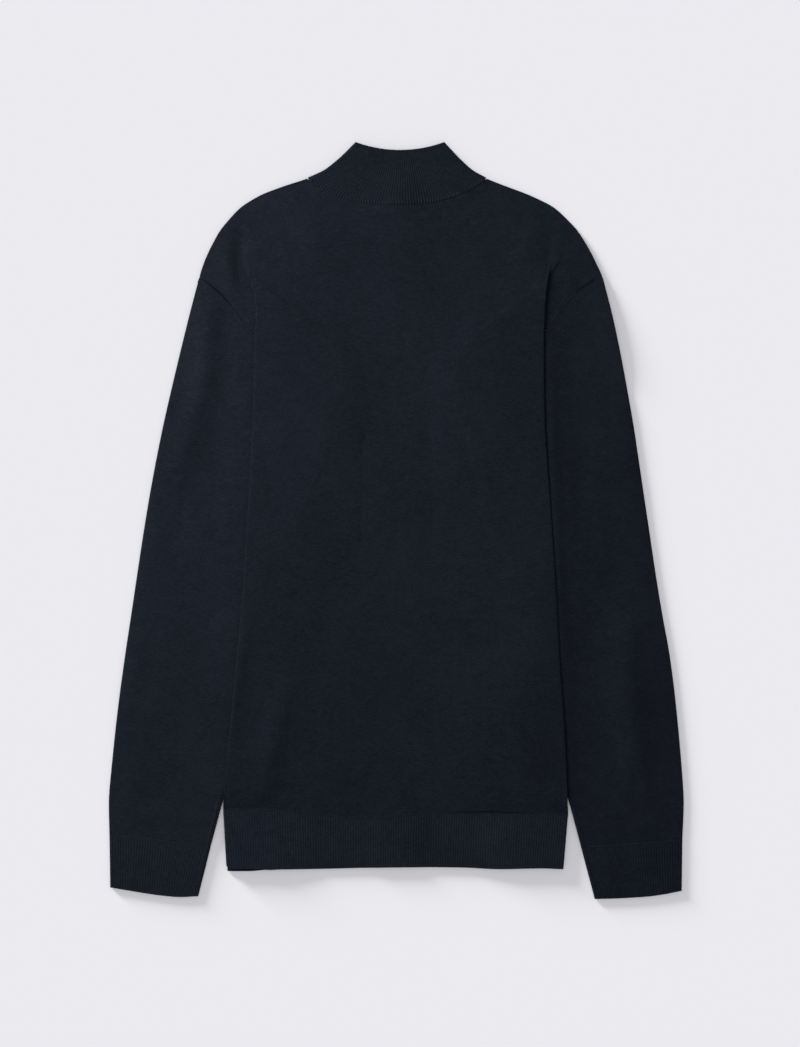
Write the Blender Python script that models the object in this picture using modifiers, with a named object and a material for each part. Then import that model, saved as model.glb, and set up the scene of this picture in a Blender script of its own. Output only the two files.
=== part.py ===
"""A knitted cardigan with a rib stand collar and a full-length zip, laid flat with its back up.

Sizes are in millimetres until a mesh is made. While the pieces are worked out, x runs across from
the zip, y runs up from the bottom edge of the hem and z runs up from the surface underneath.
At the end everything is moved so that the origin is under the middle of the whole garment.
The body's sides are tucked in between the back and the fronts, and the sleeves come out of the tucks.
"""

import math

import bmesh
import bpy
import numpy as np
from mathutils import Matrix, Vector

MM = 0.001
LEAST_TURN = 0.75  # cosine that limits how far a wall is drawn out at a sharp bend

# Cloth
CLOTH = 1.2  # thickness of the jersey
RIB_CLOTH = 1.2  # thickness of the hem band and cuffs between their ribs
COLLAR_CLOTH = 2.4  # the collar's two plies, pressed
RIB_HEIGHT = 0.35
SEAM_GAP = 0.3
LAYER = CLOTH + SEAM_GAP  # from the middle of one layer to the middle of the next
SLEEVE_LAYER = 1.8  # the same, between a sleeve and the body's tuck

# Heights of the middle of each layer above the surface
FRONT_Z = CLOTH / 2
BACK_Z = FRONT_Z + LAYER
FRONT_FLAP_Z = FRONT_Z + LAYER
SLEEVE_UNDER_Z = FRONT_FLAP_Z + SLEEVE_LAYER
SLEEVE_OVER_Z = SLEEVE_UNDER_Z + LAYER
BACK_FLAP_Z = SLEEVE_OVER_Z + SLEEVE_LAYER
BACK_FLAP_LOW_Z = FRONT_FLAP_Z + LAYER  # where no sleeve lies under the flap
FLAP_FALL = 25  # width over which the flap comes down to that
FLAP_MARGIN = 2  # from a sleeve's inner edge to where it starts to

# Heights along the garment
NECK_Y = 712
SHOULDER_Y = 612  # where the armhole seam meets the outline
FOLD_END_Y = 639  # where the tuck has run out
UNDERARM_Y = 525
FORK_Y = 72  # where a sleeve parts from the body
HEM_SEAM_Y = 60
CUFF_SEAM_Y = 28
NECK_HALF = 92.7
COLLAR_FOOT_Y = 639  # the front neck edge, at the zip
NECK_BEND = {"back": 2.6, "front": 2.2}  # how square the neck edge's curve is
SLEEVE_CLIMB = 28  # width over which a sleeve rises beside the body's edge
CLIMB_END = 8  # from there to the body's edge
FOLD_START = 4  # depth of tuck from which the sides are fully folded
EDGE_FALL = 48  # width over which the back comes down beyond a tuck

# Levels at which the panels have a row of points, hem seam to neck
BACK_ROWS = (60, 72, 112, 160, 212, 268, 330, 391, 453, 500, 525,
             541, 556, 575, 593, 612, 626, 639, 660, 683, 696, 705, 712)
FRONT_ROWS = (60, 112, 212, 330, 453, 525, 541, 556, 575, 593, 612, 626, 639, 670, 696, 712)

# Armhole seam up to the shoulder point, then the shoulder line up to the neck
PANEL_EDGE = (
    ("y", "left", "right"),
    (525, -60.8, 63.9),
    (541, -128.8, 130.8),
    (556, -151.9, 153.5),
    (575, -165.3, 165.8),
    (593, -181.3, 181.3),
    (612, -203.6, 211.7),
    (620, -201.2, 208.0),
    (633, -196.0, 201.4),
    (649, -188.5, 193.6),
    (663, -180.2, 183.3),
    (674, -172.0, 174.1),
    (683, -161.7, 162.7),
    (690, -152.4, 150.4),
    (696, -140.1, 135.5),
    (702, -124.0, 118.0),
    (708, -106.0, 103.0),
    (712, -92.7, 92.7),
)

# The body's folded edge. Above the end of the fold it is only a line that the rows follow.
BODY_EDGE = (
    ("y", "left", "right"),
    (0, -175.9, 171.5),
    (34, -177.7, 174.6),
    (60, -179.2, 176.4),
    (72, -178.9, 175.6),
    (144, -172.0, 173.0),
    (211, -165.8, 167.9),
    (268, -160.2, 165.3),
    (330, -156.0, 161.2),
    (391, -152.4, 157.1),
    (453, -148.7, 152.4),
    (541, -146.5, 151.4),
    (575, -145.2, 152.4),
    (593, -146.3, 153.5),
    (612, -151.4, 156.0),
    (626, -155.0, 159.1),
    (639, -158.6, 161.7),
    (660, -131.0, 133.0),
    (683, -106.0, 107.0),
    (696, -89.0, 88.0),
    (705, -80.0, 80.0),
    (712, -72.0, 72.0),
)

# How far a side is tucked in, from the folded edge to the side seam, and how far the fold has risen
TUCK = (
    ("y", "depth", "rise"),
    (0, 52, 1),
    (60, 55, 1),
    (212, 68, 1),
    (330, 77, 1),
    (453, 88, 1),
    (525, 95, 1),
    (541, 82, 1),
    (556, 66, 1),
    (575, 44, 1),
    (593, 20, 1),
    (612, 0, 1),
    (626, -8, 0.4),
    (639, -10, 0),
    (660, -24, 0),
    (683, -30, 0),
    (696, -28, 0),
    (705, -20, 0),
    (712, -10, 0),
)

# How far each row dips below its ends in the middle, at the back and at the front
NECK_DIP = (
    ("y", "back", "front"),
    (0, 0, 0),
    (556, 0, 0),
    (593, 0, 7),
    (612, 0, 13),
    (626, 2, 19),
    (639, 5, 26),
    (660, 11, 38),
    (683, 18, 53),
    (696, 22.5, 62),
    (705, 25, 68),
    (712, 26.5, 73),
)

HEM_SEAM = (
    ("x", "y"),
    (-181, 63),
    (-124, 63),
    (-84, 58.5),
    (-45, 54.5),
    (-12, 55.5),
    (25, 59),
    (61, 59.5),
    (97, 61),
    (133, 59),
    (181, 58.5),
)

# Bottom edges of the hem: the front band shows past the back one at the left corner
HEM_EDGE = (
    ("x", "back", "front"),
    (-178, 4, -1.5),
    (-150, 2.5, -1.5),
    (-128, 0.5, 0.9),
    (-84, 0.8, 1.8),
    (-30, 2, 3),
    (30, 2.6, 3.6),
    (68, 2.2, 3.2),
    (104, 0.8, 1.8),
    (150, 1.6, 2.6),
    (176, 0.5, 1.5),
)

SLEEVE_OUTER = (
    ("y", "left", "right"),
    (-35, -295.9, 294.0),
    (-21, -295.8, 293.6),
    (8, -295.6, 292.3),
    (35, -296.6, 294.6),
    (64, -298.0, 296.3),
    (93, -295.6, 294.6),
    (154, -289.4, 289.4),
    (216, -281.2, 282.2),
    (278, -271.9, 270.9),
    (340, -262.7, 261.6),
    (402, -252.3, 252.3),
    (464, -240.0, 243.1),
    (525, -225.6, 231.8),
    (556, -218.4, 225.6),
    (587, -210.1, 218.4),
    (612, -203.6, 211.7),
)

SLEEVE_INNER = (
    ("y", "left", "right"),
    (-35, -206.0, 204.6),
    (-28, -205.0, 203.4),
    (-10, -201.9, 199.3),
    (10, -196.2, 193.6),
    (26, -191.6, 189.0),
    (50, -184.9, 182.8),
    (72, -179.3, 176.3),
    (227, -136.2, 137.0),
    (381, -93.4, 95.8),
    (525, -53.6, 56.6),
)

# Cuff seam and cuff edge, from the outer edge of the sleeve (0) to the inner (1)
CUFF = (
    ("across", "left_seam", "right_seam", "left_edge", "right_edge"),
    (0.0, 35.0, 32.0, -18.5, -22.0),
    (0.2, 34.0, 29.0, -21.5, -25.5),
    (0.4, 32.4, 28.2, -24.4, -27.8),
    (0.6, 28.8, 26.2, -26.8, -29.0),
    (0.8, 27.4, 25.4, -28.2, -29.8),
    (1.0, 25.5, 24.0, -27.4, -30.2),
)

# Rows of the collar, neck seam to top edge: the ends, and how the row bends between them
COLLAR_ROWS = (
    ("left", "right", "end_y", "back_y", "front_y", "power"),
    (-92.7, 92.7, 712.0, 685.5, 639.0, 2.6),
    (-75.2, 78.0, 720.0, 704.0, 658.0, 2.4),
    (-58.7, 63.5, 733.5, 722.8, 677.0, 2.2),
    (-43.3, 49.4, 749.0, 741.6, 696.0, 2.0),
)

# Broad soft folds of the back and sleeves: middle, half length, half width, turn from upright, height
FOLDS = (
    ("x", "y", "length", "width", "turn", "height"),
    (-128, 118, 62, 13, -32, 1.3),
    (-95, 175, 90, 17, -27, 1.0),
    (-40, 95, 60, 20, -50, 0.8),
    (112, 150, 95, 22, 24, 1.2),
    (148, 215, 120, 12, 10, 1.0),
    (62, 330, 150, 26, 12, 0.7),
    (-70, 400, 160, 30, -8, 0.6),
    (-118, 600, 45, 12, 20, 0.9),
    (120, 590, 50, 14, -22, 0.9),
    (-262, 130, 75, 13, 14, 1.2),
    (-228, 210, 90, 14, -10, 1.0),
    (-262, 300, 120, 16, 12, 0.8),
    (-212, 470, 90, 12, 14, 0.9),
    (252, 120, 70, 12, -12, 1.4),
    (232, 230, 100, 14, 8, 1.0),
    (240, 350, 120, 14, -12, 0.8),
    (205, 480, 90, 12, -14, 0.9),
)

# Ribs that show
COLLAR_RIBS = 58
HEM_RIBS = 135
CUFF_RIBS = 36

# Zip
EDGE_TO_ZIP = 5.5  # a front's edge, from the middle of the zip
TAPE_CLOTH = 1.0
TAPE_INNER = 2.8
TAPE_OUTER = 15.5
CHAIN_WIDTH = 5.0
CHAIN_THICK = 1.4
ZIP_Z = 2.0
ZIP_COLLAR_Z = 3.2
SLIDER_Z = 3.75
SLIDER_Y = 690.0
ZIP_FOOT_Y = 4.0
ZIP_RISE = (24, 34)  # how far before the collar's foot, and before the slider, the zip starts to rise
ZIP_RISE_LENGTH = 21
TAPE_END = 4.6  # how far the tapes and the chain run on from the slider's middle
CHAIN_END = 1.4
SLIDER_LENGTH = 8.0
SLIDER_WIDTH = 7.0
PLATE = 0.6
PLATE_GAP = 1.9  # between the slider's two plates
PLATE_ROUND = 0.2
POST = 1.8
ZIP_RIDGE = 1.45  # how much the back is lifted over the zip
ZIP_RIDGE_FLAT = 17
ZIP_RIDGE_END = 34
COLLAR_LIFT = 1.25  # and over the front of the collar
COLLAR_LIFT_X = (116, 130)  # full, and run out, to each side
COLLAR_LIFT_Y = (603, 635)  # run out, and full
SLIDER_LIFT = 3.2
SLIDER_LIFT_REACH = 38
COLLAR_BACK_Z = COLLAR_CLOTH / 2 + COLLAR_CLOTH + 0.5
COLLAR_FRONT_GAP = 0.1  # more than the seam's gap, under the back
HINGE_Y = SLIDER_Y
HINGE_Z = 1.5
PULL_LENGTH = 23.0
PULL_WIDTH = 4.4
PULL_TIP_WIDTH = 5.4
PULL_THICK = 0.8
PULL_BAR = 0.8
PULL_WINDOW = (2.3, 3.8)
PULL_EYE = (2.2, 3.0)
PULL_EYE_ROUND = 0.6
PULL_RIM = 1.7
PULL_ROUND = 0.15
BRIDGE_LENGTH = 6.0
BRIDGE_WIDTH = 1.5
BRIDGE_THICK = 0.5
BRIDGE_LOW = 0.4

SIDES = {"left": 1, "right": -1}  # the way inwards, along x
SLEEVE_INSET = (CLOTH + LAYER) / 2  # from a sleeve's edge to where its layers start to turn

# Points at each side of a row of the back or a front: the strip beside the body, then the S-shaped fold
TURN_STEPS = 3
STRIP_POINTS = 3
FOLD_POINTS = 2 * (TURN_STEPS + 1) + 2
HIDDEN_POINTS = STRIP_POINTS + FOLD_POINTS
FLAP_END = STRIP_POINTS + TURN_STEPS  # the last point before the side seam
COVER_SHARES = (0.25, 0.5, 0.75)  # of the way from a tuck to the zip's ridge
FRONT_SHARES = (0.15, 0.33, 0.52, 0.7, 0.86, 1.0)  # of the way from the body's edge to the zip
SLEEVE_ROWS = 15
SLEEVE_SEAM_DROP = (0.25, 0.35)  # how far a sleeve's top edge lies from the armhole, across and down
SLEEVE_CORNER_DROP = 0.4  # and further down at the shoulder
UNDER_SHARES = (0, 0.2, 0.4, 0.6, 0.8, 1)  # points across a cuff's under layer
COLLAR_STEPS = 8  # points along each half of the collar's front
COLLAR_TURN = (-54, -18, 18, 54)  # degrees round its folded sides
SLEEVE_TURN = (-30, 30)  # and round the folded edges of a sleeve or cuff


def ease(t):
    t = np.clip(t, 0, 1)
    return t * t * (3 - 2 * t)


def smooth(rows, name):
    """A smooth function through one named column of a table, without overshoot between its rows."""
    values = np.array(rows[1:], float)
    at, value = values[:, 0], values[:, rows[0].index(name)]
    slope = np.diff(value) / np.diff(at)
    tangent = np.concatenate([slope[:1], np.zeros(len(slope) - 1), slope[-1:]])
    same_way = slope[:-1] * slope[1:] > 0
    before, after = slope[:-1][same_way], slope[1:][same_way]
    tangent[1:-1][same_way] = 2 * before * after / (before + after)

    def curve(x):
        k = np.clip(np.searchsorted(at, x) - 1, 0, len(slope) - 1)
        width = at[k + 1] - at[k]
        t = np.clip((x - at[k]) / width, 0, 1)
        bend = (1 - t) * tangent[k] - t * tangent[k + 1]
        return value[k] + (value[k + 1] - value[k]) * ease(t) + width * t * (1 - t) * bend

    return curve


panel_edge = {side: smooth(PANEL_EDGE, side) for side in SIDES}
body_edge = {side: smooth(BODY_EDGE, side) for side in SIDES}
sleeve_outer = {side: smooth(SLEEVE_OUTER, side) for side in SIDES}
sleeve_inner = {side: smooth(SLEEVE_INNER, side) for side in SIDES}
tuck_depth = smooth(TUCK, "depth")
tuck_rise = smooth(TUCK, "rise")
neck_dip = {face: smooth(NECK_DIP, face) for face in ("back", "front")}
hem_seam = smooth(HEM_SEAM, "y")
hem_edge = {face: smooth(HEM_EDGE, face) for face in ("back", "front")}
cuff_line = {name: smooth(CUFF, name) for name in CUFF[0][1:]}


def soft_folds(x, y):
    """Height that the broad folds add to the top layer."""
    total = 0.0
    for fold_x, fold_y, length, width, turn, height in FOLDS[1:]:
        along_x, along_y = math.sin(math.radians(turn)), math.cos(math.radians(turn))
        along = (x - fold_x) * along_x + (y - fold_y) * along_y
        across = (x - fold_x) * along_y - (y - fold_y) * along_x
        total = total + height * np.exp(-((along / length) ** 2) - (across / width) ** 2)
    return total


def sleeve_climb(y, inwards):
    """How far a sleeve has risen beside the body, from 0 on the surface to 1 over the tucked front."""
    free = ease((y - CUFF_SEAM_Y) / (FORK_Y - CUFF_SEAM_Y))
    return ease((inwards + SLEEVE_CLIMB + CLIMB_END) / SLEEVE_CLIMB) * tuck_rise(y) * free


def half_turn(tip, start_z, end_z, way):
    """Points round a fold whose tip is at one distance inwards, from one layer to the other."""
    radius = abs(end_z - start_z) / 2
    middle, reach = (start_z + end_z) / 2, (end_z - start_z) / 2
    turns = [math.pi * (k / TURN_STEPS - 0.5) for k in range(TURN_STEPS + 1)]
    return [(tip + way * radius * (math.cos(a) - 1), middle + reach * math.sin(a)) for a in turns]


def spread(start, end, count):
    """Evenly spaced points from one to another."""
    return [tuple(point) for point in np.linspace(start, end, count)]


def flap_break(y, side):
    """Distance inwards at which the flap starts to come down beside the sleeve's inner edge."""
    depth = float(tuck_depth(y))
    if y >= UNDERARM_Y:
        return max(depth - FLAP_MARGIN, 3 * FLAP_MARGIN)
    sleeve_edge = SIDES[side] * float(sleeve_inner[side](y) - body_edge[side](y))
    return min(max(sleeve_edge + FLAP_MARGIN, depth / 2), depth - FLAP_MARGIN)


def flap_heights(y, side):
    """Height of the back's folded-in flap over the sleeve, and at the side seam."""
    over_sleeve = float(ease((y - HEM_SEAM_Y) / (FORK_Y - HEM_SEAM_Y)))
    flap = BACK_FLAP_LOW_Z + (BACK_FLAP_Z - BACK_FLAP_LOW_Z) * over_sleeve
    room = (float(tuck_depth(y)) - flap_break(y, side)) / FLAP_FALL
    return flap, flap - (flap - BACK_FLAP_LOW_Z) * min(max(room, 0), 1)


def tuck_section(y, side, face):
    """The strip and the S-shaped fold of one panel at one level, as (inwards, z), edge to fold end."""
    depth, rise = float(tuck_depth(y)), float(tuck_rise(y))
    if face == "back":
        ground, over, outer = BACK_Z, SLEEVE_OVER_Z, flap_heights(y, side)[0] + LAYER
        flap, seam = flap_heights(y, side)
        tip = CLOTH / 2
    else:
        ground, over, outer = FRONT_Z, SLEEVE_UNDER_Z, FRONT_Z
        flap = seam = FRONT_FLAP_Z
        tip = CLOTH / 2 + 1

    def strip_height(inwards):
        return ground + (over - ground) * float(sleeve_climb(y, inwards))

    # Where the fold has run out, its points lie on one slope from the strip to the panel.
    start = (depth - 1, strip_height(depth - 1))
    sloped = spread(start, (1.0, ground + (outer - ground) * rise), FOLD_POINTS)
    reach = max(depth, CLOTH + 3)
    last_flap = min(flap_break(y, side), reach - 1.5)
    folded = half_turn(reach, over, seam, 1)
    folded += [(last_flap, flap), (last_flap / 2 + 0.5, flap)]
    folded += half_turn(tip, flap, outer, -1)
    share = min(max(depth / FOLD_START, 0), 1)
    fold = [tuple(point) for point in np.array(sloped) * (1 - share) + np.array(folded) * share]
    edge = SIDES[side] * float(panel_edge[side](y) - body_edge[side](y))
    strip = [edge + (fold[0][0] - edge) * k / STRIP_POINTS for k in range(STRIP_POINTS)]
    return [(u, strip_height(u)) for u in strip], fold


def cover_section(y, side):
    """The back's upper layer from the fold towards the zip, as (inwards, z), and where the tuck ends."""
    rise, turn = float(tuck_rise(y)), flap_break(y, side)
    flap, seam = flap_heights(y, side)
    high = BACK_Z + (flap + LAYER - BACK_Z) * rise
    low = high - (flap - seam) * rise
    end = max(float(tuck_depth(y)), turn + FLAP_MARGIN)
    points = [(turn / 2 + 0.5, high), (turn, high), (end, low)]
    free = abs(float(body_edge[side](y))) - ZIP_RIDGE_END - end
    points += [(end + free * share, fallen(free * share, low)) for share in COVER_SHARES]
    return points, (end, low)


def fallen(beyond, height):
    """Height of the back at a distance beyond a tuck, where it comes down to lie on the fronts."""
    return height + (BACK_Z - height) * float(ease(beyond / EDGE_FALL))


def middle_lift(x, y):
    """How far the back is lifted over the zip, the front of the collar and the slider."""
    ridge = ZIP_RIDGE * np.clip((ZIP_RIDGE_END - abs(x)) / (ZIP_RIDGE_END - ZIP_RIDGE_FLAT), 0, 1)
    over_x = np.clip((COLLAR_LIFT_X[1] - abs(x)) / (COLLAR_LIFT_X[1] - COLLAR_LIFT_X[0]), 0, 1)
    over_y = np.clip((y - COLLAR_LIFT_Y[0]) / (COLLAR_LIFT_Y[1] - COLLAR_LIFT_Y[0]), 0, 1)
    return ridge + COLLAR_LIFT * over_x * over_y + slider_lift(x, y)


def slider_lift(x, y):
    reach = SLIDER_LIFT_REACH
    over_x = np.cos(np.clip(abs(x) / reach, 0, 1) * math.pi / 2) ** 2
    over_y = np.cos(np.clip(abs(y - SLIDER_Y) / reach, 0, 1) * math.pi / 2) ** 2
    return SLIDER_LIFT * over_x * over_y


def dipped(x, y, face):
    """The level of a point of the row that has its ends at y."""
    bend = 1 - np.clip(abs(x) / NECK_HALF, 0, 1) ** NECK_BEND[face]
    level = y - neck_dip[face](y) * bend
    if y <= HEM_SEAM_Y:
        level = level + hem_seam(x) - HEM_SEAM_Y
    return level


def back_row(y):
    """One row of the back, from the left edge to the right."""
    halves, falls = [], []
    for side, inward in SIDES.items():
        strip, fold = tuck_section(y, side, "back")
        cover, (end, low) = cover_section(y, side)
        edge = float(body_edge[side](y))
        halves.append([(edge + inward * u, z) for u, z in strip + fold + cover])
        falls.append((edge + inward * end, low))
    middle = []
    for x in (-ZIP_RIDGE_END, -ZIP_RIDGE_FLAT, 0, ZIP_RIDGE_FLAT, ZIP_RIDGE_END):
        middle.append((x, max(fallen(abs(x - start), low) for start, low in falls)))
    row = halves[0] + middle + halves[1][::-1]
    placed = []
    for k, (x, z) in enumerate(row):
        level = float(dipped(x, y, "back"))
        shows = HIDDEN_POINTS <= k < len(row) - HIDDEN_POINTS
        if shows or y >= FOLD_END_Y:
            z = max(z, BACK_Z + float(middle_lift(x, level)))
        if shows:
            z = z + float(soft_folds(x, level))
        placed.append((x, level, z))
    return placed


def front_row(y, side):
    """One row of a front, from its outer edge to the zip."""
    strip, fold = tuck_section(y, side, "front")
    inward = SIDES[side]
    edge = float(body_edge[side](y))
    points = [(edge + inward * u, z) for u, z in strip + fold]
    start, end = points[-1][0], -inward * EDGE_TO_ZIP
    points += [(start + (end - start) * share, FRONT_Z) for share in FRONT_SHARES]
    return [(x, float(dipped(x, y, "front")), z) for x, z in points]


def grid_faces(rows, columns, closed=False, skip=None):
    """Triangles between rows of points. One way of splitting keeps layers on each other parallel."""
    faces = []
    for i in range(rows - 1):
        for j in range(columns if closed else columns - 1):
            if skip and skip(i, j):
                continue
            k = (j + 1) % columns
            here, above = i * columns, (i + 1) * columns
            faces += [(here + j, here + k, above + k), (here + j, above + k, above + j)]
    return faces


def add_object(name, points, faces, material):
    mesh = bpy.data.meshes.new(name)
    mesh.from_pydata([tuple(float(c) * MM for c in p) for p in points], [], faces)
    work = bmesh.new()
    work.from_mesh(mesh)
    bmesh.ops.delete(work, geom=[v for v in work.verts if not v.link_faces], context="VERTS")
    bmesh.ops.recalc_face_normals(work, faces=work.faces)
    work.to_mesh(mesh)
    work.free()
    mesh.shade_smooth()
    mesh.set_sharp_from_angle(angle=math.radians(50))
    mesh.materials.append(material)
    piece = bpy.data.objects.new(name, mesh)
    collection.objects.link(piece)
    return piece


def unit(vectors):
    return vectors / np.maximum(np.linalg.norm(vectors, axis=-1, keepdims=True), 1e-9)


def wall_offsets(middle, closed):
    """For each point of a middle surface, the way out of it, long enough for an even wall."""
    steps = unit(np.diff(middle, axis=1, append=middle[:, :1] if closed else middle[:, -1:]))
    if not closed:
        steps[:, -1] = steps[:, -2]
    before = np.roll(steps, 1, axis=1)
    if not closed:
        before[:, 0] = steps[:, 0]
    rises = unit(np.diff(middle, axis=0))
    up = np.concatenate([rises[:1], rises[1:] + rises[:-1], rises[-1:]])
    normal = unit(np.cross(unit(steps + before), up))
    flat = unit(np.cross(steps, up))
    return normal / np.maximum((normal * flat).sum(axis=2, keepdims=True), LEAST_TURN)


def add_wall(name, rows, thickness, material, raised=None, closed=False, skip=None):
    """A cloth wall through rows of points in its middle, with an outside that is raised at its ribs."""
    middle = np.array(rows, float)
    count_rows, columns = middle.shape[:2]
    offset = wall_offsets(middle, closed)
    relief = np.zeros(columns) if raised is None else np.array(raised)
    outside = middle + offset * (thickness / 2 + relief[None, :, None])
    inside = middle - offset * thickness / 2
    points = np.concatenate([outside.reshape(-1, 3), inside.reshape(-1, 3)])
    points[:, 2] = np.maximum(points[:, 2], 0)
    skin = grid_faces(count_rows, columns, closed, skip)
    size = count_rows * columns
    edges = {(face[k], face[(k + 1) % 3]) for face in skin for k in range(3)}
    rim = [(a, b) for a, b in sorted(edges) if (b, a) not in edges]
    faces = skin + [tuple(size + k for k in face[::-1]) for face in skin]
    faces += [(b, a, size + a, size + b) for a, b in rim]
    return add_object(name, points, faces, material)


def resample(points, count):
    """Evenly spaced points along a row."""
    part = np.array(points)
    x = np.linspace(part[0, 0], part[-1, 0], count)
    y, z = (np.interp(x, part[:, 0], part[:, c]) for c in (1, 2))
    return list(zip(x, y, z))


def make_back():
    rows = [back_row(y) for y in BACK_ROWS]
    first, last = BACK_ROWS.index(UNDERARM_Y), len(rows[0]) - 1 - FLAP_END
    # Below the underarm the strips belong to the sleeves.
    add_wall("back", rows, CLOTH, knit, skip=lambda i, j: i < first and not FLAP_END <= j < last)
    return rows


def make_fronts():
    made = {}
    first = FRONT_ROWS.index(UNDERARM_Y)
    for side in SIDES:
        rows = [front_row(y, side) for y in FRONT_ROWS]
        made[side] = rows
        # Both fronts run from left to right, as the back does, so that their faces split alike.
        edge = len(rows[0]) - 1 - FLAP_END
        if side == "left":
            add_wall("front_left", rows, CLOTH, knit, skip=lambda i, j: i < first and j < FLAP_END)
        else:
            turned = [row[::-1] for row in rows]
            add_wall("front_right", turned, CLOTH, knit, skip=lambda i, j: i < first and j >= edge)
    return made


def armhole_line(side):
    """A sleeve's top edge, from the shoulder to the underarm, just below the armhole seam."""
    inward = SIDES[side]
    stations = [y for y in BACK_ROWS if UNDERARM_Y <= y <= SHOULDER_Y][::-1]
    seam = [(float(panel_edge[side](y)), y) for y in stations]
    fall = (seam[0][1] - seam[1][1]) / abs(seam[0][0] - seam[1][0])
    seam[0] = (seam[0][0] + inward * SLEEVE_INSET, seam[0][1] - SLEEVE_INSET * fall - SLEEVE_CORNER_DROP)
    seam.append((float(sleeve_inner[side](UNDERARM_Y)) - inward * SLEEVE_INSET, UNDERARM_Y))
    line = []
    for a, b in zip(seam, seam[1:]):
        line += [a, ((a[0] + b[0]) / 2, (a[1] + b[1]) / 2)]
    line.append(seam[-1])
    across, down = SLEEVE_SEAM_DROP
    return np.array([(x - inward * across, y - down) for x, y in line])


def sleeve_rings(side):
    """Rings of a sleeve from the armhole seam to the cuff seam, as points round the flat tube."""
    inward = SIDES[side]
    top = armhole_line(side)
    steps = np.linalg.norm(np.diff(top, axis=0), axis=1)
    share = np.concatenate([[0], np.cumsum(steps)])[:, None] / steps.sum()

    def edge_point(edge, y, way):
        return np.array([float(edge[side](y)) + way * inward * SLEEVE_INSET, y])

    cuff_y = [float(cuff_line[side + "_seam"](s)) for s in share[:, 0]]
    ends = edge_point(sleeve_outer, cuff_y[0], 1), edge_point(sleeve_inner, cuff_y[-1], -1)
    cuff = ends[0] + (ends[1] - ends[0]) * share
    cuff[:, 1] = cuff_y
    rings = []
    for t in np.linspace(0, 1, SLEEVE_ROWS + 1):
        outer = edge_point(sleeve_outer, (1 - t) * top[0, 1] + t * cuff_y[0], 1)
        inner = edge_point(sleeve_inner, (1 - t) * top[-1, 1] + t * cuff_y[-1], -1)
        corners = (1 - t) * ((1 - share) * top[0] + share * top[-1])
        corners = corners + t * ((1 - share) * ends[0] + share * ends[1])
        line = (1 - t) * top + t * cuff + (1 - share) * outer + share * inner - corners
        rings.append(sleeve_ring(line, side))
    return rings


def sleeve_ring(line, side):
    """Closes one line across a sleeve into a ring: under layer, inner fold, upper layer, outer fold."""
    inward = SIDES[side]
    under, over = [], []
    for k, (x, y) in enumerate(line):
        inwards = inward * (x - float(body_edge[side](y)))
        low = FRONT_Z + (SLEEVE_UNDER_Z - FRONT_Z) * float(sleeve_climb(y, inwards))
        inside = 0 < k < len(line) - 1
        shown = float(ease((-FLAP_MARGIN - inwards) / (1.5 * CLIMB_END))) * inside
        under.append((x, y, low))
        over.append((x, y, low + LAYER + shown * float(soft_folds(x, y))))
    return under + tube_turn(under[-1], inward) + over[::-1] + tube_turn(under[0], -inward)[::-1]


def tube_turn(point, way):
    """Points round the folded edge of a flat tube, from its under layer up."""
    x, y, z = point
    radius = LAYER / 2
    turns = [math.radians(turn) for turn in SLEEVE_TURN]
    return [(x + way * radius * math.cos(a), y, z + radius + radius * math.sin(a)) for a in turns]


def make_sleeves():
    made = {}
    for side in SIDES:
        made[side] = sleeve_rings(side)
        add_wall("sleeve_" + side, made[side], CLOTH, knit, closed=True)
    return made


def make_cuffs(sleeves):
    for side, inward in SIDES.items():
        last = sleeves[side][-1]
        half = (len(last) - 2 * len(SLEEVE_TURN)) // 2
        under = last[:half]
        over = last[half + len(SLEEVE_TURN):len(last) - len(SLEEVE_TURN)][::-1]
        rib_shares = np.linspace(0, 1, 2 * CUFF_RIBS + 1)
        edge_y = cuff_line[side + "_edge"]
        outer_x = float(sleeve_outer[side](edge_y(0))) + inward * SLEEVE_INSET
        inner_x = float(sleeve_inner[side](edge_y(1))) - inward * SLEEVE_INSET

        def seam_point(share, line):
            part = np.array(sorted(line))
            x = line[0][0] + (line[-1][0] - line[0][0]) * share
            y, z = (float(np.interp(x, part[:, 0], part[:, c])) for c in (1, 2))
            return (x, y - SEAM_GAP, z)

        def edge_point(share, height):
            return (outer_x + (inner_x - outer_x) * share, float(edge_y(share)), height)

        rows = []
        for low, high in (
            ([seam_point(s, under) for s in UNDER_SHARES], [seam_point(s, over) for s in rib_shares]),
            ([edge_point(s, FRONT_Z) for s in UNDER_SHARES],
             [edge_point(s, FRONT_Z + LAYER) for s in rib_shares]),
        ):
            rows.append(low + tube_turn(low[-1], inward) + high[::-1] + tube_turn(low[0], -inward)[::-1])
        raised = [0.0] * (len(UNDER_SHARES) + len(SLEEVE_TURN)) + rib_relief(CUFF_RIBS)
        raised += [0.0] * len(SLEEVE_TURN)
        if side == "right":
            rows = [[row[0]] + row[:0:-1] for row in rows]
            raised = [raised[0]] + raised[:0:-1]
        add_wall("cuff_" + side, rows, RIB_CLOTH, rib, raised, closed=True)


def rib_relief(count):
    """How far each point of a ribbed row is raised."""
    return [RIB_HEIGHT * (k % 2) for k in range(2 * count + 1)]


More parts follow.
